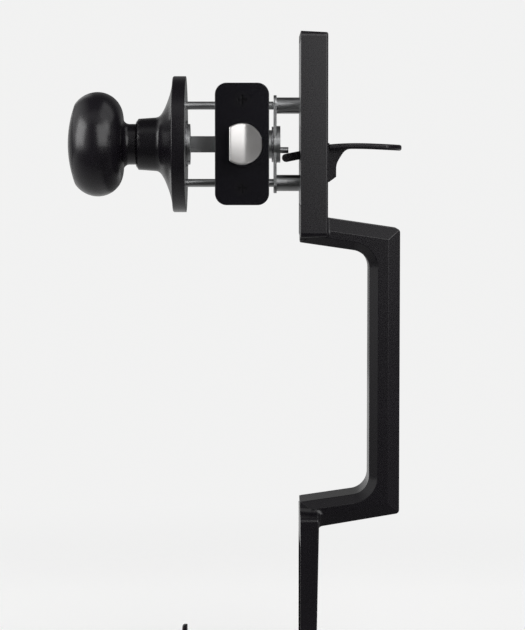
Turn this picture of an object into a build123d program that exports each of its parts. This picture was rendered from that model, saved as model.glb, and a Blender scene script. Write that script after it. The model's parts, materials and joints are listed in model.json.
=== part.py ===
"""Entry door handleset: pull handle with thumb press outside, turning knob inside, spring latch.

The origin is where the spindle axis crosses the latch axis, in the middle of the door.
+X points outside, -X inside, -Y to the door edge and +Z up. Sizes are in millimetres.
"""
import math
import os

from build123d import *

# Door that the set is cut for
door_thickness = 56.0
backset = 60.0
door_face = door_thickness / 2

# Clearances
turning_gap = 0.05
sliding_gap = 0.3
seat_gap = 0.1
square_gap = 0.1

# Upper plate of the outside casting
plate_depth = 13.07
plate_half_width = 33.0
plate_top = 54.12
plate_bottom = -45.0
plate_corner = 2.4
plate_draft = 2.9
plate_edge = 1.0
plate_wall = 3.2
plate_cavity_bottom = -30.0

# Grip between the two plates
grip_middle = -111.8
grip_outside = 76.92
grip_depth = 15.02
leg_root_outer = 75.7
leg_root_inner = 62.04
upper_outer_slope = 8.4
lower_outer_slope = 9.6
leg_inner_slope = 8.3
grip_half_width = 15.0
outer_facet = 5.8
outer_facet_depth = 3.5
inner_facet = 4.1
inner_facet_depth = 3.2
grip_corner = 2.0
grip_inner_corner = 9.2
grip_edge = 0.6
root_round = 1.6
foot_round = 2.5

# Lower plate of the outside casting
foot_depth = 9.15
foot_half_width = 30.0
foot_top = -181.2
foot_bottom = -262.0
foot_taper = 1.1
foot_cavity_depth = 5.0
foot_cavity_top = -196.0
foot_cavity_half = 27.0
foot_cavity_edge = 6.0
foot_corner = 2.0

# Thumb press
thumb_pivot_x = 35.6
thumb_pivot_z = -3.8
thumb_pin_radius = 1.5
thumb_pin_end = 10.4
thumb_barrel = 3.0
thumb_web_half = 6.8
paddle_tip = 78.05
paddle_half_width = 13.0
paddle_thickness = 2.85
paddle_start = 42.5
paddle_shoulder = 70.0
paddle_root = 41.0
paddle_root_z = -1.6
paddle_crown_x = 55.0
paddle_crown_z = -0.85
paddle_bend_x = 70.0
paddle_bend_z = -1.32
paddle_tip_z = -1.75
paddle_edge = 1.0
web_under_x = 53.0
web_bow_x = 48.1
web_bow_z = -5.6
web_face_x = 45.7
web_straight_z = -12.0
web_chamfer = 2.6
web_back_corner = 1.5
thumb_foot_x = 42.2
thumb_foot_z = -18.5
tail_reach = 14.7
tail_nose = 2.0
lug_inner = 7.2
lug_outer = 10.8
lug_reach = 4.4
slot_top = 1.0
slot_bottom = -20.2

# Through fixings of the bored hole
post_spacing = 38.0
post_radius = 4.0
screw_radius = 2.0
screw_hole = 2.25
screw_head_radius = 4.2
screw_head_height = 2.4
back_plate_thickness = 2.0
back_plate_gap = 0.4
window_half = 9.0
window_top = 9.0
window_rib = 1.0
post_spigot = 2.9
screw_tip_x = 27.0

# Crank that the thumb press lifts
bracket_x = 15.0
bracket_thickness = 1.5
bracket_half_width = 8.0
bracket_end = 5.0
cam_boss = 7.0
cam_flange = 9.0
cam_flange_thickness = 1.8
cam_boss_inner_x = 11.5
crank_radius = 5.0
crank_pin_radius = 1.5
crank_pin_end = 22.3
half_turn = 35.0
ring_thickness = 0.8
ring_depth = 0.6
ring_width = 2.4
ring_gap_width = 3.0

# Spindle and latch hub
spindle_square = 8.0
spindle_chamfer = 0.5
spindle_inner_end = -46.0
hub_radius = 6.7
hub_half_length = 11.0
hub_arm_radius = 12.2
hub_arm_width = 3.4
hub_arm_half_thickness = 1.5

# Inside rosette
rosette_radius = 33.4
rosette_rim = 6.4
rosette_collar = 13.1
collar_front = 12.55
rosette_front = 24.6
rosette_rim_wall = 2.0
flare_mid_depth = 9.2
flare_mid_share = 0.375
flare_neck_depth = 11.8
flare_neck_share = 0.11
flare_end = 15.6
flare_lean = 0.05
collar_gap = 0.3
rosette_wall = 2.0
collar_chamfer = 1.2
collar_chamfer_depth = 1.7

# Inside mounting plate
inner_plate_thickness = 1.8
sleeve_outer = 12.0
sleeve_length = 10.5

# Knob and its shank
knob_widest = 43.4
knob_radius = 25.65
knob_dome_radius = 57.0
knob_shoulder = 19.8
knob_front_round = 13.65
knob_back_land = 0.05
knob_neck_round = 3.2
knob_shoulder_round = 2.8
shank_radius = 10.0
shank_socket = 22.0
shank_spigot = 7.5
shank_tail = 2.0
set_screw_x = -62.0
set_screw_radius = 2.0
set_screw_length = 6.0

# Latch
latch_throw = 12.7
faceplate_width = 25.4
faceplate_height = 57.15
faceplate_corner = 5.5
faceplate_thickness = 2.0
faceplate_edge = 0.3
backing_thickness = 1.4
faceplate_screw_spacing = 41.28
faceplate_screw_head = 4.1
faceplate_screw_shank = 2.0
faceplate_screw_length = 24.0
screw_point = 5.0
case_radius = 11.1
case_wall = 1.0
case_rear = -12.5
bolt_radius = 9.6
bolt_flat = 5.8
bolt_land = 1.0
bolt_bevel_root = -0.8
bolt_edge = 0.7
bolt_shoulder_setback = 4.6
bolt_tail_radius = 6.8
bolt_tail_length = 7.3
bolt_lip = 2.0
bolt_window_gap = 0.25
hook_half_thickness = 1.5
hook_stem_half = 2.5
hook_head_half = 5.2
hook_head_length = 2.0
hook_gap = 0.2
side_plate_inner = 1.8
side_plate_outer = 3.3
bridge_front = 28.0
bridge_rear = 25.5
neck_half = 5.5
fork_front = 22.5
fork_rear = 20.0
rail_inner = 7.0
rail_outer = 9.3
lug_top = 10.4
lug_half_length = 2.4
hook_pin_radius = 1.0
hook_pin_z = latch_throw / (2 * math.tan(math.radians(half_turn)))
hook_pin_rest_gap = 0.45
window_front = 22.5
window_half_width = 3.6
spring_seat = 24.0
spring_tab_inner = 7.0
spring_tab_thickness = 1.0
spring_tab_half_height = 3.0
spring_radius = 8.0
spring_wire = 0.6
spring_turns = 6.0

# Lower through bolt
lower_bolt_z = -249.0
lower_bolt_radius = 2.5
lower_boss_radius = 5.5
lower_head_radius = 5.0
lower_head_height = 2.6
lower_washer_radius = 10.0
lower_washer_height = 2.4
lower_bolt_reach = 6.0

# Screws that hold the back plate in the casting
corner_screw_inset = 6.0
corner_boss = 4.0
corner_screw_radius = 1.5
corner_screw_head = 2.8
corner_screw_length = 8.0

# Cross recess in the screw heads
recess_length = 4.6
recess_width = 1.1
recess_depth = 1.2
recess_taper = 10.0

# Values worked out from the sizes above
plate_front = door_face + plate_depth
plate_height = plate_top - plate_bottom
plate_middle = (plate_top + plate_bottom) / 2
cavity_top = plate_top - plate_wall
cavity_half = plate_half_width - plate_wall
cavity_depth = plate_depth - plate_wall
grip_inside = grip_outside - grip_depth
upper_outer_rise = (grip_outside - plate_front) * math.tan(math.radians(upper_outer_slope))
lower_outer_rise = (grip_outside - plate_front) * math.tan(math.radians(lower_outer_slope))
inner_rise = (grip_inside - plate_front) * math.tan(math.radians(leg_inner_slope))
upper_outer_foot = plate_depth * math.tan(math.radians(upper_outer_slope))
lower_outer_foot = plate_depth * math.tan(math.radians(lower_outer_slope))
inner_foot = plate_depth * math.tan(math.radians(leg_inner_slope))
foot_drop = (foot_top - foot_bottom) * math.tan(math.radians(foot_taper))
post_z = post_spacing / 2
window_bottom = post_radius + window_rib - post_z
bracket_half_height = post_z + bracket_end
back_plate_outer = door_face + back_plate_thickness
back_plate_half = cavity_half - back_plate_gap
back_plate_top = cavity_top - back_plate_gap
back_plate_bottom = plate_cavity_bottom + back_plate_gap
bracket_outer = bracket_x + bracket_thickness
flange_inner = bracket_outer + turning_gap
spindle_outer_end = flange_inner - seat_gap
crank_y = -crank_radius * math.cos(math.radians(half_turn))
crank_z = -crank_radius * math.sin(math.radians(half_turn))
tail_angle = math.degrees(math.asin(-crank_z / tail_reach))
tip_out = backset + latch_throw
backing_out = backset - faceplate_thickness
case_front = backing_out - backing_thickness
bolt_shoulder = case_front - bolt_shoulder_setback
bolt_tail_end = bolt_shoulder - bolt_tail_length
case_inner = case_radius - case_wall
hook_rest = (1 - hook_pin_z * math.sin(math.radians(half_turn))) / math.cos(math.radians(half_turn))
hook_y = hook_rest * hook_pin_radius + hook_pin_rest_gap
rail_end = hook_y + lug_half_length
pocket_front = bolt_tail_end + bolt_lip + hook_head_length + latch_throw + sliding_gap
inner_plate_face = -door_face - inner_plate_thickness
rosette_face = -door_face - rosette_rim
rosette_bore = rosette_radius - rosette_rim_wall
inner_plate_radius = rosette_bore - seat_gap
flare_mid_radius = rosette_collar + (rosette_radius - rosette_collar) * flare_mid_share
flare_neck_radius = rosette_collar + (rosette_radius - rosette_collar) * flare_neck_share
collar_face = -door_face - rosette_front
knob_widest_x = -door_face - knob_widest
knob_back_round = knob_radius - shank_radius - knob_neck_round - knob_back_land
shank_seat = collar_face + collar_chamfer
shank_end = -door_face + shank_tail
spigot_end = shank_seat - shank_socket
ring_x = -door_face + seat_gap
sleeve_end = -door_face - sleeve_length

corner_places = [(side * (cavity_half - corner_screw_inset), z) for side in (-1, 1)
                 for z in (cavity_top - corner_screw_inset, plate_cavity_bottom + corner_screw_inset)]
post_places = [(0, -post_z), (0, post_z)]

parts = []


def save(piece, name):
    """Labels a finished piece and keeps it for the export."""
    piece.part.label = name
    parts.append(piece.part)


# Grip with its two legs, drawn from the side
with BuildPart() as grip:
    with BuildSketch(Plane.XZ) as grip_side:
        with BuildLine():
            Polyline(
                (door_face, grip_middle + leg_root_outer + upper_outer_foot),
                (grip_outside, grip_middle + leg_root_outer - upper_outer_rise),
                (grip_outside, grip_middle - leg_root_outer + lower_outer_rise),
                (door_face, grip_middle - leg_root_outer - lower_outer_foot),
                (door_face, grip_middle - leg_root_inner - inner_foot),
                (grip_inside, grip_middle - leg_root_inner + inner_rise),
                (grip_inside, grip_middle + leg_root_inner - inner_rise),
                (door_face, grip_middle + leg_root_inner + inner_foot),
                close=True,
            )
        make_face()
        inner_corners = [v for v in grip_side.vertices() if abs(v.X - grip_inside) < seat_gap]
        fillet(inner_corners, grip_inner_corner)
    extrude(amount=grip_half_width, both=True)
    # The facets slope away from a flat band along the middle of each side
    for side in (0, -1):
        flank = grip.faces().filter_by(Axis.Y).sort_by(Axis.Y)[side]
        finger_edges = [e for e in flank.edges() if door_face < e.center().X < grip_outside - seat_gap
                        and abs(e.center().Z - grip_middle) < leg_root_inner + inner_foot / 2]
        chamfer(finger_edges, inner_facet, inner_facet_depth, reference=flank)
    for side in (0, -1):
        flank = grip.faces().filter_by(Axis.Y).sort_by(Axis.Y)[side]
        back_edges = [e for e in flank.edges() if e.center().X > grip_outside - seat_gap
                      or abs(e.center().Z - grip_middle) > leg_root_outer - lower_outer_rise - seat_gap]
        chamfer(back_edges, outer_facet, outer_facet_depth, reference=flank)
    corner_edges = grip.edges().filter_by(Axis.Y).group_by(Axis.X)[-1]
    fillet(corner_edges, grip_corner)
    fillet([e for e in grip.edges() if e.center().X > door_face + seat_gap], grip_edge)

# Outside casting: upper plate, grip and lower plate in one, open at the back
with BuildPart() as handle_casting:
    with BuildSketch(Plane.YZ.offset(door_face)):
        with Locations((0, plate_middle)):
            RectangleRounded(2 * plate_half_width, plate_height, plate_corner)
    extrude(amount=plate_depth, taper=plate_draft)
    fillet(handle_casting.faces().sort_by(Axis.X)[-1].edges(), plate_edge)
    with BuildSketch(Plane.XZ):
        with BuildLine():
            Polyline(
                (door_face, foot_top),
                (door_face + foot_depth, foot_top),
                (door_face + foot_depth - foot_drop, foot_bottom),
                (door_face, foot_bottom),
                close=True,
            )
        make_face()
    extrude(amount=foot_half_width, both=True)
    foot_edges = [e for e in handle_casting.edges().filter_by(Axis.X) if e.center().Z < foot_top + seat_gap]
    fillet(foot_edges, foot_corner)
    foot_faces = handle_casting.faces().filter_by(lambda f: f.center().Z < foot_top)
    fillet(foot_faces.sort_by(Axis.X)[-1].edges(), plate_edge)
    add(grip.part)
    # Small fillets where the legs grow out of the plates
    upper_root = [e for e in handle_casting.edges() if abs(e.center().X - plate_front) < seat_gap
                  and abs(e.center().Y) < grip_half_width + seat_gap
                  and abs(e.center().Z - grip_middle) < leg_root_outer + seat_gap]
    fillet(upper_root, root_round)
    lower_root = [e for e in handle_casting.edges() if abs(e.center().X - door_face - foot_depth) < plate_edge
                  and abs(e.center().Y) < grip_half_width + seat_gap
                  and grip_middle - leg_root_outer - plate_edge < e.center().Z < foot_top]
    fillet(lower_root, foot_round)
    # Hollow backs, with the bosses for the corner screws and the lower bolt left standing
    with BuildSketch(Plane.YZ.offset(door_face)):
        with Locations((0, (cavity_top + plate_cavity_bottom) / 2)):
            Rectangle(2 * cavity_half, cavity_top - plate_cavity_bottom)
    extrude(amount=cavity_depth, mode=Mode.SUBTRACT)
    with BuildSketch(Plane.YZ.offset(door_face)):
        with Locations((0, (foot_cavity_top + foot_bottom + foot_cavity_edge) / 2)):
            Rectangle(2 * foot_cavity_half, foot_cavity_top - foot_bottom - foot_cavity_edge)
        with Locations((0, lower_bolt_z)):
            Circle(lower_boss_radius, mode=Mode.SUBTRACT)
    extrude(amount=foot_cavity_depth, mode=Mode.SUBTRACT)
    with BuildSketch(Plane.YZ.offset(back_plate_outer)):
        with Locations(*corner_places):
            Circle(corner_boss)
    extrude(amount=plate_front - plate_edge - back_plate_outer)
    # Lugs that hold the pin of the thumb press
    with BuildSketch(Plane.XZ.offset(lug_inner)):
        with Locations((plate_front - plate_wall, thumb_pivot_z)):
            Rectangle(2 * lug_reach, 2 * lug_reach)
    extrude(amount=lug_outer - lug_inner)
    with BuildSketch(Plane.XZ.offset(-lug_outer)):
        with Locations((plate_front - plate_wall, thumb_pivot_z)):
            Rectangle(2 * lug_reach, 2 * lug_reach)
    extrude(amount=lug_outer - lug_inner)
    with BuildSketch(Plane.XZ):
        with Locations((thumb_pivot_x, thumb_pivot_z)):
            Circle(thumb_pin_radius)
    extrude(amount=lug_outer, both=True, mode=Mode.SUBTRACT)
    # Slot that the thumb press swings in
    with BuildSketch(Plane.YZ.offset(back_plate_outer)):
        with Locations((0, (slot_top + slot_bottom) / 2)):
            Rectangle(2 * lug_inner, slot_top - slot_bottom)
    extrude(amount=plate_depth, mode=Mode.SUBTRACT)
    # Tapped holes
    with BuildSketch(Plane.YZ.offset(back_plate_outer)):
        with Locations(*corner_places):
            Circle(corner_screw_radius)
    extrude(amount=corner_screw_length - back_plate_thickness + seat_gap, mode=Mode.SUBTRACT)
    with BuildSketch(Plane.YZ.offset(door_face)):
        with Locations((0, lower_bolt_z)):
            Circle(lower_bolt_radius)
    extrude(amount=lower_bolt_reach + seat_gap, mode=Mode.SUBTRACT)
save(handle_casting, "handle_casting")

# Thumb press: a thin curved paddle on a web, a barrel for its pin and a tail that lifts the crank
with BuildPart() as thumbpiece:
    with BuildSketch(Plane.XZ):
        with BuildLine():
            Line((thumb_pivot_x, thumb_pivot_z + thumb_barrel), (paddle_root, paddle_root_z))
            Line((paddle_root, paddle_root_z), (web_under_x, paddle_crown_z))
            Line((web_under_x, paddle_crown_z), (web_under_x, paddle_crown_z - paddle_thickness / 2))
            Spline(
                (web_under_x, paddle_crown_z - paddle_thickness / 2),
                (web_bow_x, web_bow_z),
                (web_face_x, web_straight_z),
                tangents=((-1, 0), (0, -1)),
            )
            Polyline(
                (web_face_x, web_straight_z),
                (web_face_x, thumb_foot_z + web_chamfer),
                (thumb_foot_x, thumb_foot_z),
                (door_face + cavity_depth + web_back_corner, thumb_foot_z),
                (door_face + cavity_depth - seat_gap, thumb_foot_z + web_back_corner),
                (door_face + cavity_depth - seat_gap, thumb_pivot_z - thumb_barrel),
                (thumb_pivot_x, thumb_pivot_z - thumb_barrel),
                (thumb_pivot_x, thumb_pivot_z + thumb_barrel),
            )
        make_face()
        with Locations((thumb_pivot_x, thumb_pivot_z)):
            Circle(thumb_barrel)
    extrude(amount=thumb_web_half, both=True)
    # Tail with its round nose under the crank pin
    with BuildSketch(Plane.XZ):
        with Locations((thumb_pivot_x - tail_reach * math.cos(math.radians(tail_angle)),
                        thumb_pivot_z - tail_reach * math.sin(math.radians(tail_angle)))):
            Circle(tail_nose)
        with Locations((thumb_pivot_x, thumb_pivot_z)):
            Circle(tail_nose)
        make_hull()
    extrude(amount=thumb_web_half, both=True)
    # Paddle, arched along its length, with its tip turned down
    with BuildSketch(Plane.XZ):
        with BuildLine():
            Spline(
                (paddle_root, paddle_root_z),
                (paddle_crown_x, paddle_crown_z),
                (paddle_bend_x, paddle_bend_z),
                (paddle_tip, paddle_tip_z),
            )
        trace(line_width=paddle_thickness)
    extrude(amount=paddle_half_width, both=True)
    with BuildSketch(Plane.XY.offset(-door_thickness)):
        with BuildLine():
            Polyline((0, -thumb_web_half), (paddle_start, -thumb_web_half), (paddle_start, -paddle_half_width),
                     (paddle_shoulder, -paddle_half_width))
            ThreePointArc((paddle_shoulder, -paddle_half_width), (paddle_tip, 0),
                          (paddle_shoulder, paddle_half_width))
            Polyline((paddle_shoulder, paddle_half_width), (paddle_start, paddle_half_width),
                     (paddle_start, thumb_web_half), (0, thumb_web_half), (0, -thumb_web_half))
        make_face()
    extrude(amount=2 * door_thickness, mode=Mode.INTERSECT)
    paddle_edges = [e for e in thumbpiece.edges() if e.center().X > paddle_shoulder
                    or e.center().X > paddle_start + seat_gap and abs(e.center().Y) > thumb_web_half + seat_gap]
    fillet(paddle_edges, paddle_edge)
    with BuildSketch(Plane.XZ):
        with Locations((thumb_pivot_x, thumb_pivot_z)):
            Circle(thumb_pin_radius + turning_gap)
    extrude(amount=thumb_web_half, both=True, mode=Mode.SUBTRACT)
save(thumbpiece, "thumbpiece")

# Pin that the thumb press swings on
with BuildPart() as thumb_pin:
    with BuildSketch(Plane.XZ):
        with Locations((thumb_pivot_x, thumb_pivot_z)):
            Circle(thumb_pin_radius)
    extrude(amount=thumb_pin_end, both=True)
save(thumb_pin, "thumb_pin")

# Plate that closes the back of the casting and carries the posts
with BuildPart() as exterior_back_plate:
    with BuildSketch(Plane.YZ.offset(door_face)):
        with Locations((0, (back_plate_top + back_plate_bottom) / 2)):
            Rectangle(2 * back_plate_half, back_plate_top - back_plate_bottom)
        with Locations((0, (window_top + window_bottom) / 2)):
            Rectangle(2 * window_half, window_top - window_bottom, mode=Mode.SUBTRACT)
        with Locations(*post_places):
            Circle(post_spigot + turning_gap, mode=Mode.SUBTRACT)
    extrude(amount=back_plate_thickness)
    with Locations(*[Plane(origin=(door_face, y, z), z_dir=(-1, 0, 0)) for y, z in corner_places]):
        CounterSinkHole(corner_screw_radius + seat_gap, corner_screw_head + seat_gap,
                        depth=back_plate_thickness, counter_sink_angle=90)
save(exterior_back_plate, "exterior_back_plate")

# Countersunk screws from the door side into the casting
with BuildPart() as back_plate_screws:
    for y, z in corner_places:
        with BuildSketch(Plane(origin=(door_face, y, z), x_dir=(0, 1, 0), z_dir=(1, 0, 0))):
            Circle(corner_screw_radius - turning_gap)
        extrude(amount=corner_screw_length)
        with BuildSketch(Plane(origin=(door_face, y, z), x_dir=(0, 1, 0), z_dir=(1, 0, 0))):
            Circle(corner_screw_head)
        extrude(amount=corner_screw_head - corner_screw_radius, taper=45)
save(back_plate_screws, "back_plate_screws")

# Internally threaded posts riveted into the back plate
with BuildPart() as mounting_posts:
    with BuildSketch(Plane.YZ.offset(bracket_outer)):
        with Locations(*post_places):
            Circle(post_radius)
    extrude(amount=door_face - bracket_outer)
    with BuildSketch(Plane.YZ.offset(door_face)):
        with Locations(*post_places):
            Circle(post_spigot)
    extrude(amount=back_plate_thickness)
    with BuildSketch(Plane.YZ.offset(bracket_outer)):
        with Locations(*post_places):
            Circle(screw_radius + turning_gap)
    extrude(amount=screw_tip_x - bracket_outer + seat_gap, mode=Mode.SUBTRACT)
save(mounting_posts, "mounting_posts")

# Strap across the posts that the crank turns in
with BuildPart() as cam_bracket:
    with BuildSketch(Plane.YZ.offset(bracket_x)):
        RectangleRounded(2 * bracket_half_width, 2 * bracket_half_height, bracket_half_width / 2)
        Circle(cam_flange)
        Circle(cam_boss + turning_gap, mode=Mode.SUBTRACT)
        with Locations(*post_places):
            Circle(screw_hole, mode=Mode.SUBTRACT)
    extrude(amount=bracket_thickness)
save(cam_bracket, "cam_bracket")

# Crank on the outer end of the spindle
with BuildPart() as exterior_cam:
    with BuildSketch(Plane.YZ.offset(cam_boss_inner_x)):
        Circle(cam_boss)
    extrude(amount=flange_inner - cam_boss_inner_x)
    with BuildSketch(Plane.YZ.offset(flange_inner)):
        Circle(cam_flange)
    extrude(amount=cam_flange_thickness)
    with BuildSketch(Plane.YZ.offset(flange_inner)):
        with Locations((crank_y, crank_z)):
            Circle(crank_pin_radius)
    extrude(amount=crank_pin_end - flange_inner)
    with BuildSketch(Plane.YZ.offset(cam_boss_inner_x)):
        Rectangle(spindle_square + square_gap, spindle_square + square_gap)
    extrude(amount=spindle_outer_end - cam_boss_inner_x + turning_gap, mode=Mode.SUBTRACT)
    with BuildSketch(Plane.YZ.offset(bracket_x - turning_gap - ring_thickness)):
        Circle(cam_boss)
        Circle(cam_boss - ring_depth, mode=Mode.SUBTRACT)
    extrude(amount=ring_thickness, mode=Mode.SUBTRACT)
save(exterior_cam, "exterior_cam")


def spring_ring(groove_radius, start):
    """Open retaining ring, flat, with its gap on top."""
    with BuildPart() as ring:
        with BuildSketch(Plane.YZ.offset(start)):
            Circle(groove_radius + ring_width)
            Circle(groove_radius + turning_gap, mode=Mode.SUBTRACT)
            with Locations((0, groove_radius)):
                Rectangle(ring_gap_width, 3 * ring_width, mode=Mode.SUBTRACT)
        extrude(amount=ring_thickness - turning_gap)
    return ring


cam_ring = spring_ring(cam_boss - ring_depth, bracket_x - turning_gap - ring_thickness)
save(cam_ring, "cam_ring")
shank_ring = spring_ring(shank_radius - ring_depth, ring_x)
save(shank_ring, "shank_ring")

# Square spindle from the knob through the latch to the crank
with BuildPart() as spindle:
    with BuildSketch(Plane.YZ.offset(spindle_inner_end)):
        Rectangle(spindle_square, spindle_square)
    extrude(amount=spindle_outer_end - spindle_inner_end)
    chamfer(spindle.faces().filter_by(Axis.X).edges(), spindle_chamfer)
save(spindle, "spindle")

# Latch hub: a barrel with two arms that lean to the door edge at rest
with BuildPart() as latch_hub:
    with BuildSketch(Plane.YZ):
        Circle(hub_radius)
    extrude(amount=hub_half_length, both=True)
    with BuildSketch(Plane.YZ):
        Rectangle(hub_arm_width, hub_arm_radius, rotation=half_turn, align=(Align.MAX, Align.MIN))
        Rectangle(hub_arm_width, hub_arm_radius, rotation=-half_turn, align=(Align.MAX, Align.MAX))
    extrude(amount=hub_arm_half_thickness, both=True)
    with BuildSketch(Plane.YZ):
        Rectangle(spindle_square + square_gap, spindle_square + square_gap)
    extrude(amount=hub_half_length, both=True, mode=Mode.SUBTRACT)
save(latch_hub, "latch_hub")

# Sleeve that joins the knob to the spindle and turns in the mounting plate
with BuildPart() as knob_shank:
    with BuildSketch(Plane.XY) as shank_side:
        with BuildLine():
            Polyline(
                (spigot_end, 0),
                (spigot_end, shank_spigot),
                (shank_seat, shank_spigot),
                (shank_seat, shank_radius),
                (shank_end, shank_radius),
                (shank_end, 0),
                close=True,
            )
        make_face()
    revolve(axis=Axis.X)
    with BuildSketch(Plane.YZ.offset(ring_x)):
        Circle(shank_radius)
        Circle(shank_radius - ring_depth, mode=Mode.SUBTRACT)
    extrude(amount=ring_thickness, mode=Mode.SUBTRACT)
    with BuildSketch(Plane.YZ.offset(spindle_inner_end - seat_gap)):
        Rectangle(spindle_square + square_gap, spindle_square + square_gap)
    extrude(amount=shank_end - spindle_inner_end + seat_gap, mode=Mode.SUBTRACT)
save(knob_shank, "knob_shank")

# Knob: shallow domed front, full round sides and a narrow neck
with BuildPart() as interior_knob:
    with BuildSketch(Plane.XY) as knob_side:
        with BuildLine():
            front_x = knob_widest_x - math.sqrt(
                knob_front_round ** 2 - (knob_shoulder - knob_radius + knob_front_round) ** 2)
            dome_drop = knob_dome_radius - math.sqrt(knob_dome_radius ** 2 - knob_shoulder ** 2)
            half_r = knob_shoulder / 2
            half_drop = knob_dome_radius - math.sqrt(knob_dome_radius ** 2 - half_r ** 2)
            dome = ThreePointArc((front_x - dome_drop, 0), (front_x - dome_drop + half_drop, half_r),
                                 (front_x, knob_shoulder))
            crown = TangentArc((knob_widest_x, knob_radius), (front_x, knob_shoulder),
                               tangent=(-1, 0))
            back = RadiusArc((knob_widest_x, knob_radius),
                             (knob_widest_x + knob_back_round, knob_radius - knob_back_round),
                             knob_back_round)
            Polyline(
                (knob_widest_x + knob_back_round, knob_radius - knob_back_round),
                (knob_widest_x + knob_back_round, shank_radius),
                (shank_seat, shank_radius),
                (shank_seat, 0),
                (front_x - dome_drop, 0),
            )
        make_face()
        neck = [v for v in knob_side.vertices()
                if abs(v.X - knob_widest_x - knob_back_round) < seat_gap and abs(v.Y - shank_radius) < seat_gap]
        fillet(neck, knob_neck_round)
        shoulder = [v for v in knob_side.vertices() if abs(v.Y - knob_shoulder) < seat_gap]
        fillet(shoulder, knob_shoulder_round)
    revolve(axis=Axis.X)
    with BuildSketch(Plane.YZ.offset(spigot_end - seat_gap)):
        Circle(shank_spigot + turning_gap)
    extrude(amount=shank_seat - spigot_end + seat_gap, mode=Mode.SUBTRACT)
    with BuildSketch(Plane.XY.offset(-knob_radius)):
        with Locations((set_screw_x, 0)):
            Circle(set_screw_radius)
    extrude(amount=knob_radius, mode=Mode.SUBTRACT)
save(interior_knob, "interior_knob")

# Headless screw that locks the knob on its shank, from below
with BuildPart() as knob_set_screw:
    with BuildSketch(Plane.XY.offset(-shank_spigot)):
        with Locations((set_screw_x, 0)):
            Circle(set_screw_radius - turning_gap)
    extrude(amount=-set_screw_length)
    with BuildSketch(Plane.XY.offset(-shank_spigot - set_screw_length)):
        with Locations((set_screw_x, 0)):
            RegularPolygon(set_screw_radius / 2, 6)
    extrude(amount=set_screw_radius, mode=Mode.SUBTRACT)
save(knob_set_screw, "knob_set_screw")

# Round plate under the rosette, with the sleeve that the shank turns in
with BuildPart() as interior_mounting_plate:
    with BuildSketch(Plane.YZ.offset(-door_face)):
        Circle(inner_plate_radius)
    extrude(amount=-inner_plate_thickness)
    with BuildSketch(Plane.YZ.offset(-door_face)):
        Circle(sleeve_outer)
    extrude(amount=-sleeve_length)
    with BuildSketch(Plane.YZ.offset(-door_face)):
        Circle(shank_radius + turning_gap)
        with Locations(*post_places):
            Circle(screw_hole)
    extrude(amount=-sleeve_length, mode=Mode.SUBTRACT)
save(interior_mounting_plate, "interior_mounting_plate")


def cross_recess(place, length):
    """Cross-shaped pocket for the driver, sunk from the plane of a screw head."""
    with BuildSketch(place) as cross:
        Rectangle(length, recess_width)
        Rectangle(recess_width, length)
    extrude(cross.sketch, amount=-recess_depth, taper=recess_taper, mode=Mode.SUBTRACT)


# Two long screws from the inside into the posts
with BuildPart() as mounting_screws:
    for y, z in post_places:
        with BuildSketch(Plane.YZ.offset(inner_plate_face)):
            with Locations((y, z)):
                Circle(screw_head_radius)
        extrude(amount=-screw_head_height)
        with BuildSketch(Plane.YZ.offset(inner_plate_face)):
            with Locations((y, z)):
                Circle(screw_radius)
        extrude(amount=screw_tip_x - inner_plate_face)
    fillet(mounting_screws.edges().filter_by(GeomType.CIRCLE).group_by(Axis.X)[0], screw_head_height / 2)
    for y, z in post_places:
        cross_recess(Plane(origin=(inner_plate_face - screw_head_height, y, z), z_dir=(-1, 0, 0)), recess_length)
save(mounting_screws, "mounting_screws")

# Rosette: flat rim, swept flare and a collar round the shank, hollow behind
with BuildPart() as interior_rosette:
    with BuildSketch(Plane.XY):
        with BuildLine():
            Line((-door_face, rosette_bore), (-door_face, rosette_radius))
            Line((-door_face, rosette_radius), (rosette_face + plate_edge / 2, rosette_radius))
            Line((rosette_face + plate_edge / 2, rosette_radius), (rosette_face, rosette_radius - plate_edge / 2))
            Spline(
                (rosette_face, rosette_radius - plate_edge / 2),
                (-door_face - flare_mid_depth, flare_mid_radius),
                (-door_face - flare_neck_depth, flare_neck_radius),
                (-door_face - flare_end, rosette_collar),
                tangents=((-flare_lean, -1), (-1, 0)),
            )
            Polyline(
                (-door_face - flare_end, rosette_collar),
                (collar_face + collar_chamfer, collar_front),
                (collar_face, collar_front - collar_chamfer_depth),
                (collar_face, shank_radius + collar_gap),
                (sleeve_end - rosette_wall, shank_radius + collar_gap),
                (sleeve_end - rosette_wall, sleeve_outer - collar_gap),
                (sleeve_end, sleeve_outer + collar_gap),
                (-door_face - flare_neck_depth + rosette_wall, flare_neck_radius - rosette_wall / 2),
                (-door_face - flare_mid_depth + rosette_wall, flare_mid_radius - rosette_wall / 2),
                (rosette_face + rosette_wall, rosette_bore - rosette_wall),
                (rosette_face + rosette_wall, rosette_bore),
                (-door_face, rosette_bore),
            )
        make_face()
    revolve(axis=Axis.X)
save(interior_rosette, "interior_rosette")


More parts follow.
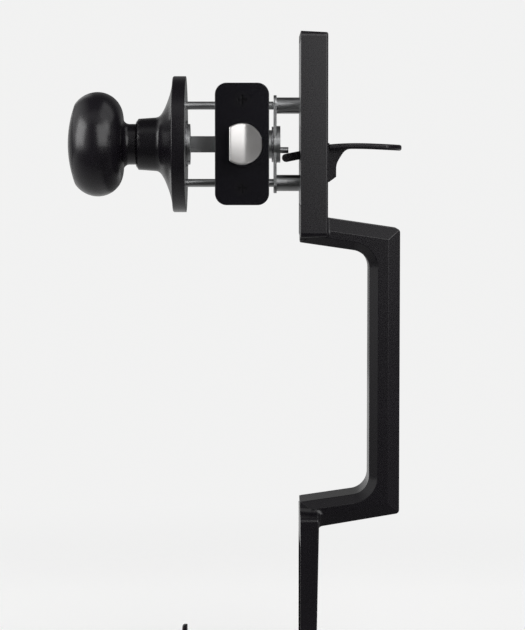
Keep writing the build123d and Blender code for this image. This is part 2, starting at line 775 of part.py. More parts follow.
# Faceplate let into the door edge
screw_places = [(0, -faceplate_screw_spacing / 2), (0, faceplate_screw_spacing / 2)]
with BuildPart() as latch_faceplate:
    with BuildSketch(Plane.XZ.offset(backing_out)):
        RectangleRounded(faceplate_width, faceplate_height, faceplate_corner)
    extrude(amount=faceplate_thickness)
    fillet(latch_faceplate.faces().sort_by(Axis.Y)[0].edges(), faceplate_edge)
    with BuildSketch(Plane.XZ.offset(backing_out)) as bolt_window:
        Circle(bolt_radius + bolt_window_gap)
        with Locations((-bolt_flat - bolt_window_gap, 0)):
            Rectangle(2 * bolt_radius, 3 * bolt_radius, align=(Align.MAX, Align.CENTER), mode=Mode.SUBTRACT)
    extrude(amount=faceplate_thickness, mode=Mode.SUBTRACT)
    with Locations(*[Plane.XZ.offset(backset).location * Location((x, z, 0)) for x, z in screw_places]):
        CounterSinkHole(faceplate_screw_shank + seat_gap, faceplate_screw_head + seat_gap,
                        depth=faceplate_thickness, counter_sink_angle=90)
save(latch_faceplate, "latch_faceplate")

# Backing plate that the case is staked to
with BuildPart() as latch_backing_plate:
    with BuildSketch(Plane.XZ.offset(case_front)):
        RectangleRounded(faceplate_width, faceplate_height, faceplate_corner)
        with Locations(*screw_places):
            Circle(faceplate_screw_shank + 2 * seat_gap, mode=Mode.SUBTRACT)
    extrude(amount=backing_thickness)
    with BuildSketch(Plane.XZ.offset(case_front)):
        Circle(bolt_radius + bolt_window_gap)
        with Locations((-bolt_flat - bolt_window_gap, 0)):
            Rectangle(2 * bolt_radius, 3 * bolt_radius, align=(Align.MAX, Align.CENTER), mode=Mode.SUBTRACT)
    extrude(amount=backing_thickness, mode=Mode.SUBTRACT)
save(latch_backing_plate, "latch_backing_plate")

# Wood screws that hold the faceplate
with BuildPart() as faceplate_screws:
    for x, z in screw_places:
        with BuildSketch(Plane(origin=(x, 0, z), x_dir=(1, 0, 0), z_dir=(0, 0, 1))):
            with BuildLine():
                head_drop = faceplate_screw_head - faceplate_screw_shank
                Polyline(
                    (0, -backset),
                    (faceplate_screw_head, -backset),
                    (faceplate_screw_shank, -backset + head_drop),
                    (faceplate_screw_shank, -backset + faceplate_screw_length - screw_point),
                    (0, -backset + faceplate_screw_length),
                    close=True,
                )
            make_face()
        revolve(axis=Axis((x, 0, z), (0, 1, 0)))
    for x, z in screw_places:
        cross_recess(Plane(origin=(x, -backset, z), z_dir=(0, -1, 0)), recess_length)
save(faceplate_screws, "faceplate_screws")

# Latch case: a tube with a closed rear, windows for the arms, bearings for the hub and two spring tabs
with BuildPart() as latch_case:
    with BuildSketch(Plane.XZ.offset(case_rear)):
        Circle(case_radius)
    extrude(amount=case_front - case_rear)
    with BuildSketch(Plane.XZ.offset(case_rear + case_wall)):
        Circle(case_inner)
    extrude(amount=case_front - case_rear - case_wall, mode=Mode.SUBTRACT)
    with BuildSketch(Plane.XZ.offset(case_rear + case_wall)):
        Rectangle(2 * window_half_width, 3 * case_radius)
    extrude(amount=window_front - case_rear - case_wall, mode=Mode.SUBTRACT)
    with BuildSketch(Plane.YZ):
        Circle(hub_radius + turning_gap)
    extrude(amount=2 * case_radius, both=True, mode=Mode.SUBTRACT)
    with BuildSketch(Plane.XZ.offset(spring_seat - spring_tab_thickness)):
        Circle(case_inner + case_wall / 2)
        Rectangle(2 * spring_tab_inner, 3 * case_radius, mode=Mode.SUBTRACT)
        with Locations((0, case_radius + spring_tab_half_height), (0, -case_radius - spring_tab_half_height)):
            Rectangle(3 * case_radius, 2 * case_radius, mode=Mode.SUBTRACT)
    extrude(amount=spring_tab_thickness)
save(latch_case, "latch_case")

# Latch bolt: D-shaped head with a sloped nose, and a tail with a pocket for the hook of the retractor
with BuildPart() as latch_bolt:
    with BuildSketch(Plane.XZ.offset(bolt_shoulder)):
        Circle(bolt_radius)
        with Locations((-bolt_flat, 0)):
            Rectangle(2 * bolt_radius, 3 * bolt_radius, align=(Align.MAX, Align.CENTER), mode=Mode.SUBTRACT)
    extrude(amount=tip_out - bolt_shoulder)
    with BuildSketch(Plane.XZ.offset(bolt_tail_end)):
        Circle(bolt_tail_radius)
        with Locations((-bolt_flat, 0)):
            Rectangle(2 * bolt_radius, 3 * bolt_radius, align=(Align.MAX, Align.CENTER), mode=Mode.SUBTRACT)
    extrude(amount=bolt_shoulder - bolt_tail_end)
    # Sloped side of the nose
    with BuildSketch(Plane.XY.offset(-2 * bolt_radius)):
        with BuildLine():
            Polyline(
                (bolt_land, -tip_out),
                (bolt_radius, -backset - bolt_bevel_root),
                (2 * bolt_radius, -backset - bolt_bevel_root),
                (2 * bolt_radius, -tip_out - bolt_radius),
                (bolt_land, -tip_out - bolt_radius),
                close=True,
            )
        make_face()
    extrude(amount=4 * bolt_radius, mode=Mode.SUBTRACT)
    nose_edges = [e for e in latch_bolt.edges().filter_by(Axis.Y, reverse=True)
                  if e.center().Y < -backset - bolt_edge]
    fillet(nose_edges, bolt_edge)
    # Pocket, open to the side behind the faceplate so that the hook can be slid in
    with BuildSketch(Plane.XZ.offset(bolt_tail_end + bolt_lip)):
        Rectangle(2 * (hook_half_thickness + hook_gap), 2 * (hook_head_half + hook_gap))
    extrude(amount=pocket_front - bolt_tail_end - bolt_lip, mode=Mode.SUBTRACT)
    with BuildSketch(Plane.XZ.offset(bolt_tail_end + bolt_lip)):
        with Locations((hook_half_thickness + hook_gap, 0)):
            Rectangle(2 * bolt_radius, 2 * (hook_head_half + hook_gap), align=(Align.MAX, Align.CENTER))
    extrude(amount=backing_out - backing_thickness - bolt_tail_end - bolt_lip, mode=Mode.SUBTRACT)
    with BuildSketch(Plane.XZ.offset(bolt_tail_end)):
        with Locations((hook_half_thickness + hook_gap, 0)):
            Rectangle(2 * bolt_radius, 2 * (hook_stem_half + hook_gap), align=(Align.MAX, Align.CENTER))
    extrude(amount=bolt_lip, mode=Mode.SUBTRACT)
save(latch_bolt, "latch_bolt")

# Compression spring between the shoulder of the bolt and the tabs of the case
spring_length = bolt_shoulder - spring_seat - spring_wire - 2 * seat_gap
with BuildPart() as latch_spring:
    with BuildLine():
        coil = Helix(spring_length / spring_turns, spring_length, spring_radius,
                     center=(0, -spring_seat - spring_wire / 2 - seat_gap, 0), direction=(0, -1, 0))
    with BuildSketch(Plane(origin=coil @ 0, z_dir=coil % 0)):
        Circle(spring_wire / 2)
    sweep(path=coil, is_frenet=True)
save(latch_spring, "latch_spring")

# Retractor: two slotted side plates, a bridge and the hook that draws the bolt
with BuildPart() as retractor:
    with BuildSketch(Plane.YZ.offset(side_plate_inner)) as side_plate:
        with Locations((-bridge_front, 0)):
            Rectangle(bridge_front - fork_rear, 2 * neck_half, align=(Align.MIN, Align.CENTER))
        with Locations((-fork_front, 0)):
            Rectangle(fork_front + rail_end, 2 * rail_outer, align=(Align.MIN, Align.CENTER))
        with Locations((hook_y, 0)):
            Rectangle(2 * lug_half_length, 2 * lug_top)
        with Locations((-fork_rear, 0)):
            Rectangle(2 * fork_rear + rail_end, 2 * rail_inner, align=(Align.MIN, Align.CENTER),
                      mode=Mode.SUBTRACT)
        with Locations((hook_y, -hook_pin_z), (hook_y, hook_pin_z)):
            Circle(hook_pin_radius + turning_gap, mode=Mode.SUBTRACT)
    extrude(amount=side_plate_outer - side_plate_inner)
    mirror(about=Plane.YZ)
    with BuildSketch(Plane.XZ.offset(bridge_rear)):
        Rectangle(2 * side_plate_inner, 2 * neck_half)
    extrude(amount=bridge_front - bridge_rear)
    with BuildSketch(Plane.XZ.offset(bridge_front)):
        Rectangle(2 * hook_half_thickness, 2 * hook_stem_half)
    extrude(amount=bolt_tail_end + bolt_lip - bridge_front + turning_gap)
    with BuildSketch(Plane.XZ.offset(bolt_tail_end + bolt_lip + turning_gap)):
        Rectangle(2 * hook_half_thickness, 2 * hook_head_half)
    extrude(amount=hook_head_length)
save(retractor, "retractor")

# Pins that the arms of the hub push
with BuildPart() as retractor_pins:
    with BuildSketch(Plane.YZ):
        with Locations((hook_y, -hook_pin_z), (hook_y, hook_pin_z)):
            Circle(hook_pin_radius)
    extrude(amount=side_plate_outer, both=True)
save(retractor_pins, "retractor_pins")

# Lower through bolt with its washer on the inside of the door
with BuildPart() as lower_washer:
    with BuildSketch(Plane.YZ.offset(-door_face)):
        with Locations((0, lower_bolt_z)):
            Circle(lower_washer_radius)
    extrude(amount=-lower_washer_height)
    fillet(lower_washer.faces().sort_by(Axis.X)[0].edges(), lower_washer_height / 2)
    with BuildSketch(Plane.YZ.offset(-door_face)):
        with Locations((0, lower_bolt_z)):
            Circle(lower_bolt_radius + seat_gap)
    extrude(amount=-lower_washer_height, mode=Mode.SUBTRACT)
save(lower_washer, "lower_washer")

with BuildPart() as lower_bolt:
    with BuildSketch(Plane.YZ.offset(-door_face - lower_washer_height)):
        with Locations((0, lower_bolt_z)):
            Circle(lower_head_radius)
    extrude(amount=-lower_head_height)
    fillet(lower_bolt.faces().sort_by(Axis.X)[0].edges(), lower_head_height / 2)
    with BuildSketch(Plane.YZ.offset(-door_face - lower_washer_height)):
        with Locations((0, lower_bolt_z)):
            Circle(lower_bolt_radius - turning_gap)
    extrude(amount=door_thickness + lower_washer_height + lower_bolt_reach)
    cross_recess(Plane(origin=(-door_face - lower_washer_height - lower_head_height, 0, lower_bolt_z),
                       z_dir=(-1, 0, 0)), recess_length)
save(lower_bolt, "lower_bolt")

os.makedirs("parts", exist_ok=True)
for piece in parts:
    export_step(piece, f"parts/{piece.label}.step")
    print(piece.label, round(piece.volume, 1), piece.is_valid)
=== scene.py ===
"""Entry door handleset: materials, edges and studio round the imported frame. Lengths are in metres."""
import json
import math

import bmesh
import bpy
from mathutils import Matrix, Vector


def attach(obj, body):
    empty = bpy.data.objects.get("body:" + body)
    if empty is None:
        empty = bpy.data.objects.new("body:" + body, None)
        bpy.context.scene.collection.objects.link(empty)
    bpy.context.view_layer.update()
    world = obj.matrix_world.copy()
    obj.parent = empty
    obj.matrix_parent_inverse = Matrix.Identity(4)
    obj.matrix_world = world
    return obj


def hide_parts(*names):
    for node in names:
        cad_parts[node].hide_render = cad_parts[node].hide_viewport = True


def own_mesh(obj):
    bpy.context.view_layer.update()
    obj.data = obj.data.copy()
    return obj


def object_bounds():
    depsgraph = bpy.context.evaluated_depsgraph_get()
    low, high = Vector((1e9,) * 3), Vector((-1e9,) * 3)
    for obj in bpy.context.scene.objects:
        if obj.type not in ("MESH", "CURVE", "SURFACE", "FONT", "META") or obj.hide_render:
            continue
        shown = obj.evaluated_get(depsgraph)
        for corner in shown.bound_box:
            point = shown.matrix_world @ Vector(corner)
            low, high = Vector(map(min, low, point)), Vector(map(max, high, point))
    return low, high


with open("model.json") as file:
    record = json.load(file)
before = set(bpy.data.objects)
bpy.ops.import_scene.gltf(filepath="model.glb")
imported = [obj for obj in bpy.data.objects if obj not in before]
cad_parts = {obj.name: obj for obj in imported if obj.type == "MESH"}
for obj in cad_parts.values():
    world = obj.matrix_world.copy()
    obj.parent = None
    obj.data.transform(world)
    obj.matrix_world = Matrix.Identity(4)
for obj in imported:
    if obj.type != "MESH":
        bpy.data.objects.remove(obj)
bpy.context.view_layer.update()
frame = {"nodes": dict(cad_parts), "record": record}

MM = 0.001

# Camera of the photograph: it stands in front of the latch faceplate and looks slightly down
CAMERA_PLACE = Vector((9.58, -1180.0, -2.8)) * MM
CAMERA_DIP = 3.949
CAMERA_FOCAL_PX = 2390.0
CAMERA_CLIP = (0.05, 50.0)
FRAME_HEIGHT_PX = 630.0
SENSOR = 36.0

# Tones
COAT_BLACK = (0.0060, 0.0050, 0.0070)
PLATE_BLACK = (0.0036, 0.0033, 0.0050)
SCREW_BLACK = (0.0040, 0.0037, 0.0050)
NICKEL = (0.60, 0.588, 0.58)
ZINC = (0.50, 0.505, 0.51)
SPRING_STEEL = (0.40, 0.40, 0.41)
BACKDROP = (0.885, 0.885, 0.883)

# Grain of the finishes: each scale is in noise cells per metre, and most of a noise lies in its middle
NOISE_MIDDLE = (0.3, 0.7)
LINES_MIDDLE = (0.25, 0.75)
DRIFT_SCALE = 24.0
DRIFT_TONE = 1.35
COAT_GLOSS_SCALE = 700.0
COAT_PEEL_STRENGTH = 0.2
COAT_IOR = 1.5
CLOUD_SCALE = 90.0
CLOUD_TONE = 0.88
LINE_DEPTH = 0.02 * MM

# Edges and shading of the CAD nodes
WELD_DISTANCE = 0.002 * MM
EDGE_WIDTHS = {
    "thumbpiece": 0.25 * MM,
    "retractor": 0.15 * MM,
    "cam_bracket": 0.2 * MM,
    "exterior_back_plate": 0.2 * MM,
    "latch_hub": 0.2 * MM,
}
EDGE_SEGMENTS = 3
EDGE_ANGLE = 28.0
SHADING_WEIGHT = 80

# Nose of the latch bolt: the CAD node's tip, crest and slope, and the bowed front drawn on it
NOSE_TIP = -72.7 * MM
NOSE_CREST = 1.0 * MM
NOSE_SLOPE = 13.5 / 8.6
NOSE_FLAT_SIDE = -5.8 * MM
NOSE_RIM = 0.72 * MM
NOSE_START = NOSE_FLAT_SIDE + NOSE_RIM
NOSE_RADIUS = 9.6 * MM
NOSE_ROOT = -58.5 * MM
# Slope of the bowed front at its start and where its turn begins, the turn's stretch of X, and the dome
NOSE_LEAN = (0.19, 0.39)
NOSE_TURN = (0.0, 5.0 * MM)
NOSE_BOW = 7.0
# How deep the drawn front reaches, its grid and how its mesh is cut, cleaned and shaded
NOSE_DEPTH = 2.2 * MM
NOSE_STEP = 0.45 * MM
CUT_DISTANCE = 0.001 * MM
SUM_STEPS = 40
FLAT_ANGLE = 0.2
SHARP_ANGLE = 38.0

# Latch spring: the CAD node's helix, in two halves
SPRING_REAR = -24.1 * MM
SPRING_FRONT = -51.9 * MM
SPRING_MIDDLE = (SPRING_REAR + SPRING_FRONT) / 2
SPRING_RADIUS = 8.0 * MM
SPRING_WIRE = 0.3 * MM
SPRING_TURNS = 6
SPRING_STEPS = 48
SPRING_CORNERS = 10

# Floor. A zone is a stretch of one axis, from and to, and the values at those two places.
FLOOR_DROP = 6.0 * MM
FLOOR_RADIUS = 1.6
FLOOR_SEGMENTS = 96
FLOOR_COLOR = (0.70, 0.70, 0.698)
FLOOR_ROUGHNESS = 0.95
# Zone from the middle outwards, over which the floor turns into the backdrop
FLOOR_FADE = (0.20, 0.60, 0.0, 1.0)
# Zone along Y of the glow that the camera sees
FLOOR_GLOW = (-0.25, 0.25, 0.22, 0.41)
# Zones of what reflections see, two along Y and two along X
SHEEN_NEAR = (-0.26, 0.04, 0.05, 0.52)
SHEEN_FAR = (0.04, 0.50, 0.0, 0.25)
SHEEN_INNER = (0.0, 0.05, 1.0, 0.3)
SHEEN_OUTER = (0.25, 0.60, 0.0, 0.9)

# Surroundings: what reflections see past the floor, in zones along the parts of their direction
WORLD_DIFFUSE = 0.38
# Bright left side: along X, and along Z with a tilt that follows Y
LEFT_SIDE = (-0.35, -0.75, 0.0, 1.0)
LEFT_TILT = (-1.0, 1.0, 0.5, -0.5)
LEFT_LEVEL = (-0.25, 0.02, 0.0, 0.85)
# Light from above: along Z and along Y
ABOVE = (0.65, 0.85, 0.0, 0.40)
ABOVE_NEAR = (-0.1, -0.35, 0.0, 1.0)
# Dim front and backdrop behind: along Y
FRONT = (0.62, 0.95, 0.04, 0.0)
BEHIND = (0.62, 0.95, 0.0, 1.0)
# Bright patch of the backdrop: along X, its start and its end
BEHIND_DIM = 0.20
BEHIND_BRIGHT = 0.85
PATCH_START = (-0.15, -0.21, BEHIND_DIM, BEHIND_BRIGHT)
PATCH_END = (-0.30, -0.42, 0.0, BEHIND_DIM - BEHIND_BRIGHT)

# Lamps
KNOB_PLACE = Vector((-80.0, 0.0, 0.0)) * MM
PLATE_PLACE = Vector((34.0, 0.0, 0.0)) * MM
OUTER_NODES = ("handle_casting", "thumbpiece")


def node_material(name):
    """A new material: its node tree holds a Principled shader, linked to the output."""
    material = bpy.data.materials.new(name)
    material.use_nodes = True
    tree = material.node_tree
    tree.nodes.clear()
    output = tree.nodes.new("ShaderNodeOutputMaterial")
    shader = tree.nodes.new("ShaderNodeBsdfPrincipled")
    tree.links.new(shader.outputs["BSDF"], output.inputs["Surface"])
    return material, tree, shader


def object_coordinates(tree, scale=(1.0, 1.0, 1.0)):
    """Position in the object's frame, stretched by scale."""
    coordinates = tree.nodes.new("ShaderNodeTexCoord")
    mapping = tree.nodes.new("ShaderNodeMapping")
    mapping.inputs["Scale"].default_value = scale
    tree.links.new(coordinates.outputs["Object"], mapping.inputs["Vector"])
    return mapping.outputs["Vector"]


def noise(tree, vector, scale, detail=3.0, roughness=0.5):
    """Grey noise at a scale per metre."""
    node = tree.nodes.new("ShaderNodeTexNoise")
    node.inputs["Scale"].default_value = scale
    node.inputs["Detail"].default_value = detail
    node.inputs["Roughness"].default_value = roughness
    tree.links.new(vector, node.inputs["Vector"])
    return node.outputs["Fac"]


def map_range(tree, value, low, high, new_low, new_high):
    """value moved from low..high to new_low..new_high, clamped."""
    node = tree.nodes.new("ShaderNodeMapRange")
    node.inputs["From Min"].default_value = low
    node.inputs["From Max"].default_value = high
    node.inputs["To Min"].default_value = new_low
    node.inputs["To Max"].default_value = new_high
    tree.links.new(value, node.inputs["Value"])
    return node.outputs["Result"]


def smooth_range(tree, value, low, high, new_low, new_high):
    """map_range with soft ends."""
    result = map_range(tree, value, low, high, new_low, new_high)
    result.node.interpolation_type = "SMOOTHSTEP"
    return result


def mix_colors(tree, factor, first, second):
    """A colour between first and second."""
    node = tree.nodes.new("ShaderNodeMix")
    node.data_type = "RGBA"
    node.inputs["A"].default_value = (*first, 1.0)
    node.inputs["B"].default_value = (*second, 1.0)
    tree.links.new(factor, node.inputs["Factor"])
    return node.outputs["Result"]


def mix_shaders(tree, factor, first, second):
    """A shader between first and second."""
    node = tree.nodes.new("ShaderNodeMixShader")
    tree.links.new(factor, node.inputs["Fac"])
    tree.links.new(first, node.inputs[1])
    tree.links.new(second, node.inputs[2])
    return node.outputs["Shader"]


def math_node(tree, operation, first, second):
    """A Math node of one operation."""
    node = tree.nodes.new("ShaderNodeMath")
    node.operation = operation
    tree.links.new(first, node.inputs[0])
    tree.links.new(second, node.inputs[1])
    return node.outputs["Value"]


def add(tree, first, second):
    """The sum of two values."""
    return math_node(tree, "ADD", first, second)


def multiply(tree, first, second):
    """The product of two values."""
    return math_node(tree, "MULTIPLY", first, second)


def separate(tree, vector):
    """The three parts of a vector."""
    node = tree.nodes.new("ShaderNodeSeparateXYZ")
    tree.links.new(vector, node.inputs["Vector"])
    return node.outputs


def bump(tree, shader, height, strength, distance):
    """Adds a bump of height to the shader's normal."""
    node = tree.nodes.new("ShaderNodeBump")
    node.inputs["Strength"].default_value = strength
    node.inputs["Distance"].default_value = distance
    tree.links.new(height, node.inputs["Height"])
    tree.links.new(node.outputs["Normal"], shader.inputs["Normal"])


def emission(tree, strength=1.0):
    """A surface that glows in the backdrop's colour."""
    node = tree.nodes.new("ShaderNodeEmission")
    node.inputs["Color"].default_value = (*BACKDROP, 1.0)
    node.inputs["Strength"].default_value = strength
    return node


def background(tree, strength=1.0):
    """World light in the backdrop's colour."""
    node = tree.nodes.new("ShaderNodeBackground")
    node.inputs["Color"].default_value = (*BACKDROP, 1.0)
    node.inputs["Strength"].default_value = strength
    return node


def black_coat(name, color, gloss, peel_scale, peel_depth):
    """Baked black coat over metal: fine grain in the gloss, a soft orange peel and slight tone drift."""
    material, tree, shader = node_material(name)
    vector = object_coordinates(tree)
    drift = noise(tree, vector, DRIFT_SCALE)
    tone = map_range(tree, drift, *NOISE_MIDDLE, 0.0, 1.0)
    lighter = tuple(channel * DRIFT_TONE for channel in color)
    tree.links.new(mix_colors(tree, tone, color, lighter), shader.inputs["Base Color"])
    grain = noise(tree, vector, COAT_GLOSS_SCALE, detail=4.0, roughness=0.6)
    tree.links.new(map_range(tree, grain, *NOISE_MIDDLE, *gloss), shader.inputs["Roughness"])
    peel = noise(tree, vector, peel_scale, detail=4.0, roughness=0.55)
    bump(tree, shader, peel, COAT_PEEL_STRENGTH, peel_depth)
    shader.inputs["Metallic"].default_value = 0.0
    shader.inputs["IOR"].default_value = COAT_IOR
    return material


def brushed_metal(name, color, gloss, line_scale, line_strength, stretch=(1.0, 1.0, 1.0), metallic=1.0):
    """Bare or plated metal with fine drawn lines along one direction and cloudy plating."""
    material, tree, shader = node_material(name)
    lines = noise(tree, object_coordinates(tree, stretch), line_scale, detail=5.0, roughness=0.6)
    clouds = noise(tree, object_coordinates(tree), CLOUD_SCALE)
    tone = map_range(tree, clouds, *NOISE_MIDDLE, 0.0, 1.0)
    darker = tuple(channel * CLOUD_TONE for channel in color)
    tree.links.new(mix_colors(tree, tone, color, darker), shader.inputs["Base Color"])
    tree.links.new(map_range(tree, lines, *LINES_MIDDLE, *gloss), shader.inputs["Roughness"])
    bump(tree, shader, lines, line_strength, LINE_DEPTH)
    shader.inputs["Metallic"].default_value = metallic
    return material


def make_materials():
    """All finishes, named after the record's slots, and the faceplate's own."""
    return {
        "black_coat": black_coat("satin_black", COAT_BLACK, gloss=(0.25, 0.29),
                                 peel_scale=1300.0, peel_depth=0.012 * MM),
        "faceplate": black_coat("gloss_black", PLATE_BLACK, gloss=(0.18, 0.22),
                                peel_scale=900.0, peel_depth=0.015 * MM),
        "black_screw": black_coat("screw_black", SCREW_BLACK, gloss=(0.18, 0.23),
                                  peel_scale=1800.0, peel_depth=0.015 * MM),
        "bolt_metal": brushed_metal("satin_nickel", NICKEL, gloss=(0.32, 0.39), line_scale=300.0,
                                    line_strength=0.08, stretch=(1.0, 1.0, 9.0), metallic=0.8),
        "plated_steel": brushed_metal("zinc_plate", ZINC, gloss=(0.26, 0.40), line_scale=240.0,
                                      line_strength=0.2, stretch=(1.0, 5.0, 5.0)),
        "spring_steel": brushed_metal("spring_wire", SPRING_STEEL, gloss=(0.18, 0.30), line_scale=600.0,
                                      line_strength=0.15),
    }


def dress(node, material, edge):
    """Gives a CAD node its material, rounds its sharp edges and evens its shading."""
    piece = frame["nodes"][node]
    piece.data.materials.clear()
    piece.data.materials.append(material)
    for polygon in piece.data.polygons:
        polygon.material_index = 0
    weld = piece.modifiers.new("weld", "WELD")
    weld.merge_threshold = WELD_DISTANCE
    if edge:
        rounding = piece.modifiers.new("edge", "BEVEL")
        rounding.width = edge
        rounding.segments = EDGE_SEGMENTS
        rounding.limit_method = "ANGLE"
        rounding.angle_limit = math.radians(EDGE_ANGLE)
        rounding.harden_normals = False
    shading = piece.modifiers.new("normals", "WEIGHTED_NORMAL")
    shading.keep_sharp = True
    shading.weight = SHADING_WEIGHT


def dress_nodes(finishes):
    """Every CAD node takes the finish of its slot, and the faceplate its own."""
    for subpart in frame["record"]["subparts"]:
        node = subpart["node"]
        finish = "faceplate" if node == "latch_faceplate" else subpart["material_slot"]
        dress(node, finishes[finish], EDGE_WIDTHS.get(node, 0.0))


def add_object(name, data):
    """A new object in the scene."""
    item = bpy.data.objects.new(name, data)
    bpy.context.scene.collection.objects.link(item)
    return item


def add_mesh(name, shape, material):
    """A new object from a bmesh, with one material."""
    mesh = bpy.data.meshes.new(name)
    shape.to_mesh(mesh)
    shape.free()
    mesh.materials.append(material)
    return add_object(name, mesh)


def nose_front(x):
    """Place along Y of the CAD node's nose at x: a flat land and a slope beyond the crest."""
    return NOSE_TIP + max(0.0, x - NOSE_CREST) * NOSE_SLOPE


def soft_step(share):
    """0 up to 0, 1 from 1 on, and a soft step between."""
    share = min(1.0, max(0.0, share))
    return share * share * (3.0 - 2.0 * share)


def nose_lean(x):
    """Slope of the bowed front at x: it grows over the land and then turns into the slope."""
    on_land = min(1.0, (x - NOSE_START) / (NOSE_TURN[0] - NOSE_START))
    lean = NOSE_LEAN[0] + (NOSE_LEAN[1] - NOSE_LEAN[0]) * on_land
    turned = soft_step((x - NOSE_TURN[0]) / (NOSE_TURN[1] - NOSE_TURN[0]))
    return lean + (NOSE_SLOPE - lean) * turned


def nose_setback(x, z):
    """How far the bowed front lies behind the flat one: it leans along X and is domed along Z."""
    stride = max(0.0, x - NOSE_START) / SUM_STEPS
    fall = stride * sum(nose_lean(NOSE_START + (step + 0.5) * stride) for step in range(SUM_STEPS))
    return NOSE_TIP + fall - nose_front(x) + NOSE_BOW * z * z


def cut_nose(shape):
    """Cuts the front of the bolt into a grid along X and Z."""
    cuts = int(NOSE_RADIUS / NOSE_STEP)
    for normal in (Vector((1.0, 0.0, 0.0)), Vector((0.0, 0.0, 1.0))):
        for cut in range(-cuts, cuts + 1):
            front = [face for face in shape.faces if min(v.co.y for v in face.verts) < NOSE_ROOT]
            edges = dict.fromkeys(edge for face in front for edge in face.edges)
            verts = dict.fromkeys(vertex for face in front for vertex in face.verts)
            bmesh.ops.bisect_plane(shape, geom=[*front, *edges, *verts], dist=CUT_DISTANCE,
                                   plane_co=normal * (cut + 0.5) * NOSE_STEP, plane_no=normal)


def build_bolt(material):
    """Latch bolt with a bowed nose: the CAD node's mesh, cut into a grid and drawn back at its front."""
    source = frame["nodes"]["latch_bolt"]
    shape = bmesh.new()
    shape.from_mesh(source.data)
    shape.transform(source.matrix_world)
    bmesh.ops.remove_doubles(shape, verts=shape.verts, dist=WELD_DISTANCE)
    bmesh.ops.dissolve_limit(shape, angle_limit=math.radians(FLAT_ANGLE), verts=shape.verts,
                             edges=shape.edges)
    cut_nose(shape)
    for vertex in shape.verts:
        x, y, z = vertex.co
        if y - nose_front(x) < NOSE_DEPTH:
            inside = x > NOSE_START and math.hypot(x, z) < NOSE_RADIUS - NOSE_RIM
            vertex.co.y = (nose_front(x) if inside else y) + max(0.0, nose_setback(x, z))
    bmesh.ops.triangulate(shape, faces=[face for face in shape.faces if len(face.verts) > 4])
    bmesh.ops.recalc_face_normals(shape, faces=shape.faces)
    for edge in shape.edges:
        if len(edge.link_faces) == 2 and edge.calc_face_angle() > math.radians(SHARP_ANGLE):
            edge.smooth = False
    for face in shape.faces:
        face.smooth = True
    bolt = add_mesh("latch_bolt_bowed", shape, material)
    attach(bolt, "bolt")
    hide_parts("latch_bolt")


def spring_ring(shape, along):
    """Adds a ring of points round the wire, where the coil has come to along. All of the wire stays between
    the coil's two ends."""
    share = (along - SPRING_REAR) / (SPRING_FRONT - SPRING_REAR)
    middle = along - SPRING_WIRE * (1.0 - 2.0 * share)
    turn = 2 * math.pi * SPRING_TURNS * share
    ring = []
    for corner in range(SPRING_CORNERS):
        angle = 2 * math.pi * corner / SPRING_CORNERS
        reach = SPRING_RADIUS + SPRING_WIRE * math.cos(angle)
        ring.append(shape.verts.new((reach * math.cos(turn), middle + SPRING_WIRE * math.sin(angle),
                                     reach * math.sin(turn))))
    return ring


def build_spring_half(name, rear, front, body, material):
    """Half of the latch spring, between two places along Y. It rides on body."""
    shape = bmesh.new()
    steps = SPRING_STEPS * SPRING_TURNS // 2
    rings = [spring_ring(shape, rear + (front - rear) * step / steps) for step in range(steps + 1)]
    for ring, following in zip(rings, rings[1:]):
        for corner in range(SPRING_CORNERS):
            beside = (corner + 1) % SPRING_CORNERS
            shape.faces.new((ring[corner], ring[beside], following[beside], following[corner]))
    shape.faces.new(rings[0])
    shape.faces.new(rings[-1])
    bmesh.ops.recalc_face_normals(shape, faces=shape.faces)
    for face in shape.faces:
        face.smooth = len(face.verts) == 4
    piece = add_mesh(name, shape, material)
    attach(piece, body)
    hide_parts("latch_spring")
    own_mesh(piece)


def floor_material():
    """Pale paper that keeps shadows and glows a little. Its rim has the backdrop's colour, and reflections
    see it brighter behind and at the sides."""
    material, tree, shader = node_material("floor_paper")
    shader.inputs["Base Color"].default_value = (*FLOOR_COLOR, 1.0)
    shader.inputs["Roughness"].default_value = FLOOR_ROUGHNESS
    shader.inputs["Specular IOR Level"].default_value = 0.0
    place = object_coordinates(tree)
    spread = separate(tree, place)
    path = tree.nodes.new("ShaderNodeLightPath")

    shine = emission(tree)
    tree.links.new(map_range(tree, spread["Y"], *FLOOR_GLOW), shine.inputs["Strength"])
    glow = tree.nodes.new("ShaderNodeAddShader")
    tree.links.new(shader.outputs["BSDF"], glow.inputs[0])
    tree.links.new(shine.outputs["Emission"], glow.inputs[1])
    length = tree.nodes.new("ShaderNodeVectorMath")
    length.operation = "LENGTH"
    tree.links.new(place, length.inputs[0])
    fade = smooth_range(tree, length.outputs["Value"], *FLOOR_FADE)
    seen = mix_shaders(tree, fade, glow.outputs["Shader"], emission(tree).outputs["Emission"])
    lit = mix_shaders(tree, path.outputs["Is Camera Ray"], shader.outputs["BSDF"], seen)

    sheen = emission(tree)
    along = add(tree, map_range(tree, spread["Y"], *SHEEN_NEAR),
                map_range(tree, spread["Y"], *SHEEN_FAR))
    across = add(tree, map_range(tree, spread["X"], *SHEEN_INNER),
                 map_range(tree, spread["X"], *SHEEN_OUTER))
    tree.links.new(multiply(tree, across, along), sheen.inputs["Strength"])
    surface = mix_shaders(tree, path.outputs["Is Glossy Ray"], lit, sheen.outputs["Emission"])
    tree.links.new(surface, tree.nodes["Material Output"].inputs["Surface"])
    return material


def build_floor():
    """Plain pale floor disc under the handleset, whose rim runs into the backdrop."""
    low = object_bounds()[0]
    shape = bmesh.new()
    bmesh.ops.create_circle(shape, cap_ends=True, segments=FLOOR_SEGMENTS, radius=FLOOR_RADIUS)
    floor = add_mesh("floor", shape, floor_material())
    floor.location = (0.0, 0.0, low[2] - FLOOR_DROP)


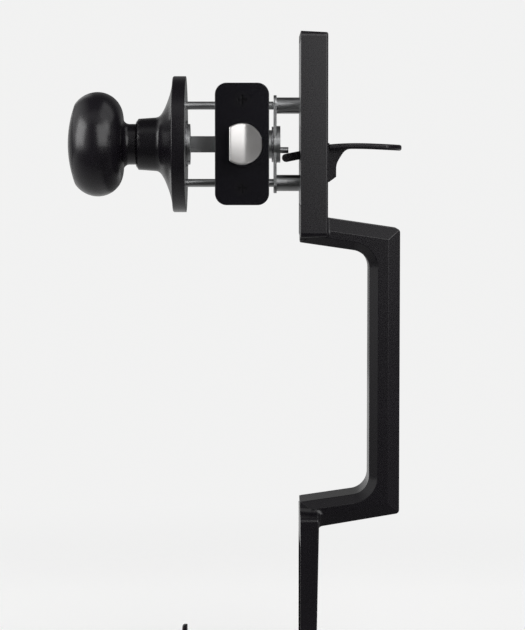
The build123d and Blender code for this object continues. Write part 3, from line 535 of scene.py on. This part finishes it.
def surroundings(tree, direction):
    """Strength of what a reflection sees: a bright left side, light from above, a dim front, and the
    backdrop behind with its bright patch."""
    level = add(tree, direction["Z"], map_range(tree, direction["Y"], *LEFT_TILT))
    left = multiply(tree, map_range(tree, direction["X"], *LEFT_SIDE),
                    map_range(tree, level, *LEFT_LEVEL))
    above = multiply(tree, map_range(tree, direction["Z"], *ABOVE),
                     map_range(tree, direction["Y"], *ABOVE_NEAR))
    patch = add(tree, map_range(tree, direction["X"], *PATCH_START),
                map_range(tree, direction["X"], *PATCH_END))
    behind = multiply(tree, smooth_range(tree, direction["Y"], *BEHIND), patch)
    front = map_range(tree, direction["Y"], *FRONT)
    return add(tree, add(tree, left, above), add(tree, front, behind))


def build_world():
    """Even pale backdrop and even light. Reflections see the surroundings in their place."""
    world = bpy.data.worlds.new("studio")
    bpy.context.scene.world = world
    world.use_nodes = True
    tree = world.node_tree
    tree.nodes.clear()
    output = tree.nodes.new("ShaderNodeOutputWorld")
    path = tree.nodes.new("ShaderNodeLightPath")
    coordinates = tree.nodes.new("ShaderNodeTexCoord")
    direction = separate(tree, coordinates.outputs["Generated"])
    seen = background(tree).outputs["Background"]
    even = background(tree, WORLD_DIFFUSE).outputs["Background"]
    mirrored = background(tree)
    tree.links.new(surroundings(tree, direction), mirrored.inputs["Strength"])
    glossy = mix_shaders(tree, path.outputs["Is Glossy Ray"], even, mirrored.outputs["Background"])
    clear = mix_shaders(tree, path.outputs["Is Transmission Ray"], glossy, seen)
    whole = mix_shaders(tree, path.outputs["Is Camera Ray"], clear, seen)
    tree.links.new(whole, output.inputs["Surface"])


def soft_box(name, target, turn, rise, distance, width, height, glow):
    """Soft rectangular lamp that faces target. turn is its angle from the viewer's side towards +X, rise
    its elevation, and glow how bright its face is."""
    data = bpy.data.lights.new(name, "AREA")
    data.shape = "RECTANGLE"
    data.size = width
    data.size_y = height
    data.energy = glow * math.pi * width * height
    lamp = add_object(name, data)
    turn, rise = math.radians(turn), math.radians(rise)
    away = Vector((math.sin(turn) * math.cos(rise), -math.cos(turn) * math.cos(rise), math.sin(rise)))
    lamp.location = target + away * distance
    lamp.rotation_euler = away.to_track_quat("Z", "Y").to_euler()
    lamp.visible_camera = False
    return lamp


def build_lights():
    """Soft boxes at the left and at the right in front, and a weak one high on the right. The pieces on
    the outer side are shaded from the left one when the handleset is mounted, so it is kept off them."""
    left = soft_box("left_box", KNOB_PLACE, turn=-68.0, rise=19.5, distance=0.75, width=0.54, height=0.60,
                    glow=4.1)
    outer_side = bpy.data.collections.new("outer_side")
    for node in OUTER_NODES:
        outer_side.objects.link(frame["nodes"][node])
    for entry in outer_side.collection_objects:
        entry.light_linking.link_state = "EXCLUDE"
    left.light_linking.receiver_collection = outer_side
    soft_box("right_box", PLATE_PLACE, turn=35.5, rise=21.5, distance=1.30, width=1.40, height=1.18,
             glow=2.5)
    soft_box("high_box", KNOB_PLACE, turn=85.0, rise=52.0, distance=1.20, width=1.10, height=0.95,
             glow=0.75)


def build_camera():
    """The photograph's viewpoint."""
    data = bpy.data.cameras.new("camera")
    data.sensor_fit = "VERTICAL"
    data.sensor_height = SENSOR
    data.lens = CAMERA_FOCAL_PX / FRAME_HEIGHT_PX * SENSOR
    data.clip_start, data.clip_end = CAMERA_CLIP
    camera = add_object("camera", data)
    camera.location = CAMERA_PLACE
    camera.rotation_euler = (math.radians(90.0 - CAMERA_DIP), 0.0, 0.0)
    bpy.context.scene.camera = camera


build_camera()
finishes = make_materials()
dress_nodes(finishes)
build_bolt(finishes["bolt_metal"])
build_spring_half("latch_spring_rear", SPRING_REAR, SPRING_MIDDLE, "fixed_trim",
                  finishes["spring_steel"])
build_spring_half("latch_spring_front", SPRING_MIDDLE, SPRING_FRONT, "retractor",
                  finishes["spring_steel"])
build_floor()
build_world()
build_lights()
bpy.context.scene.view_settings.view_transform = "Standard"
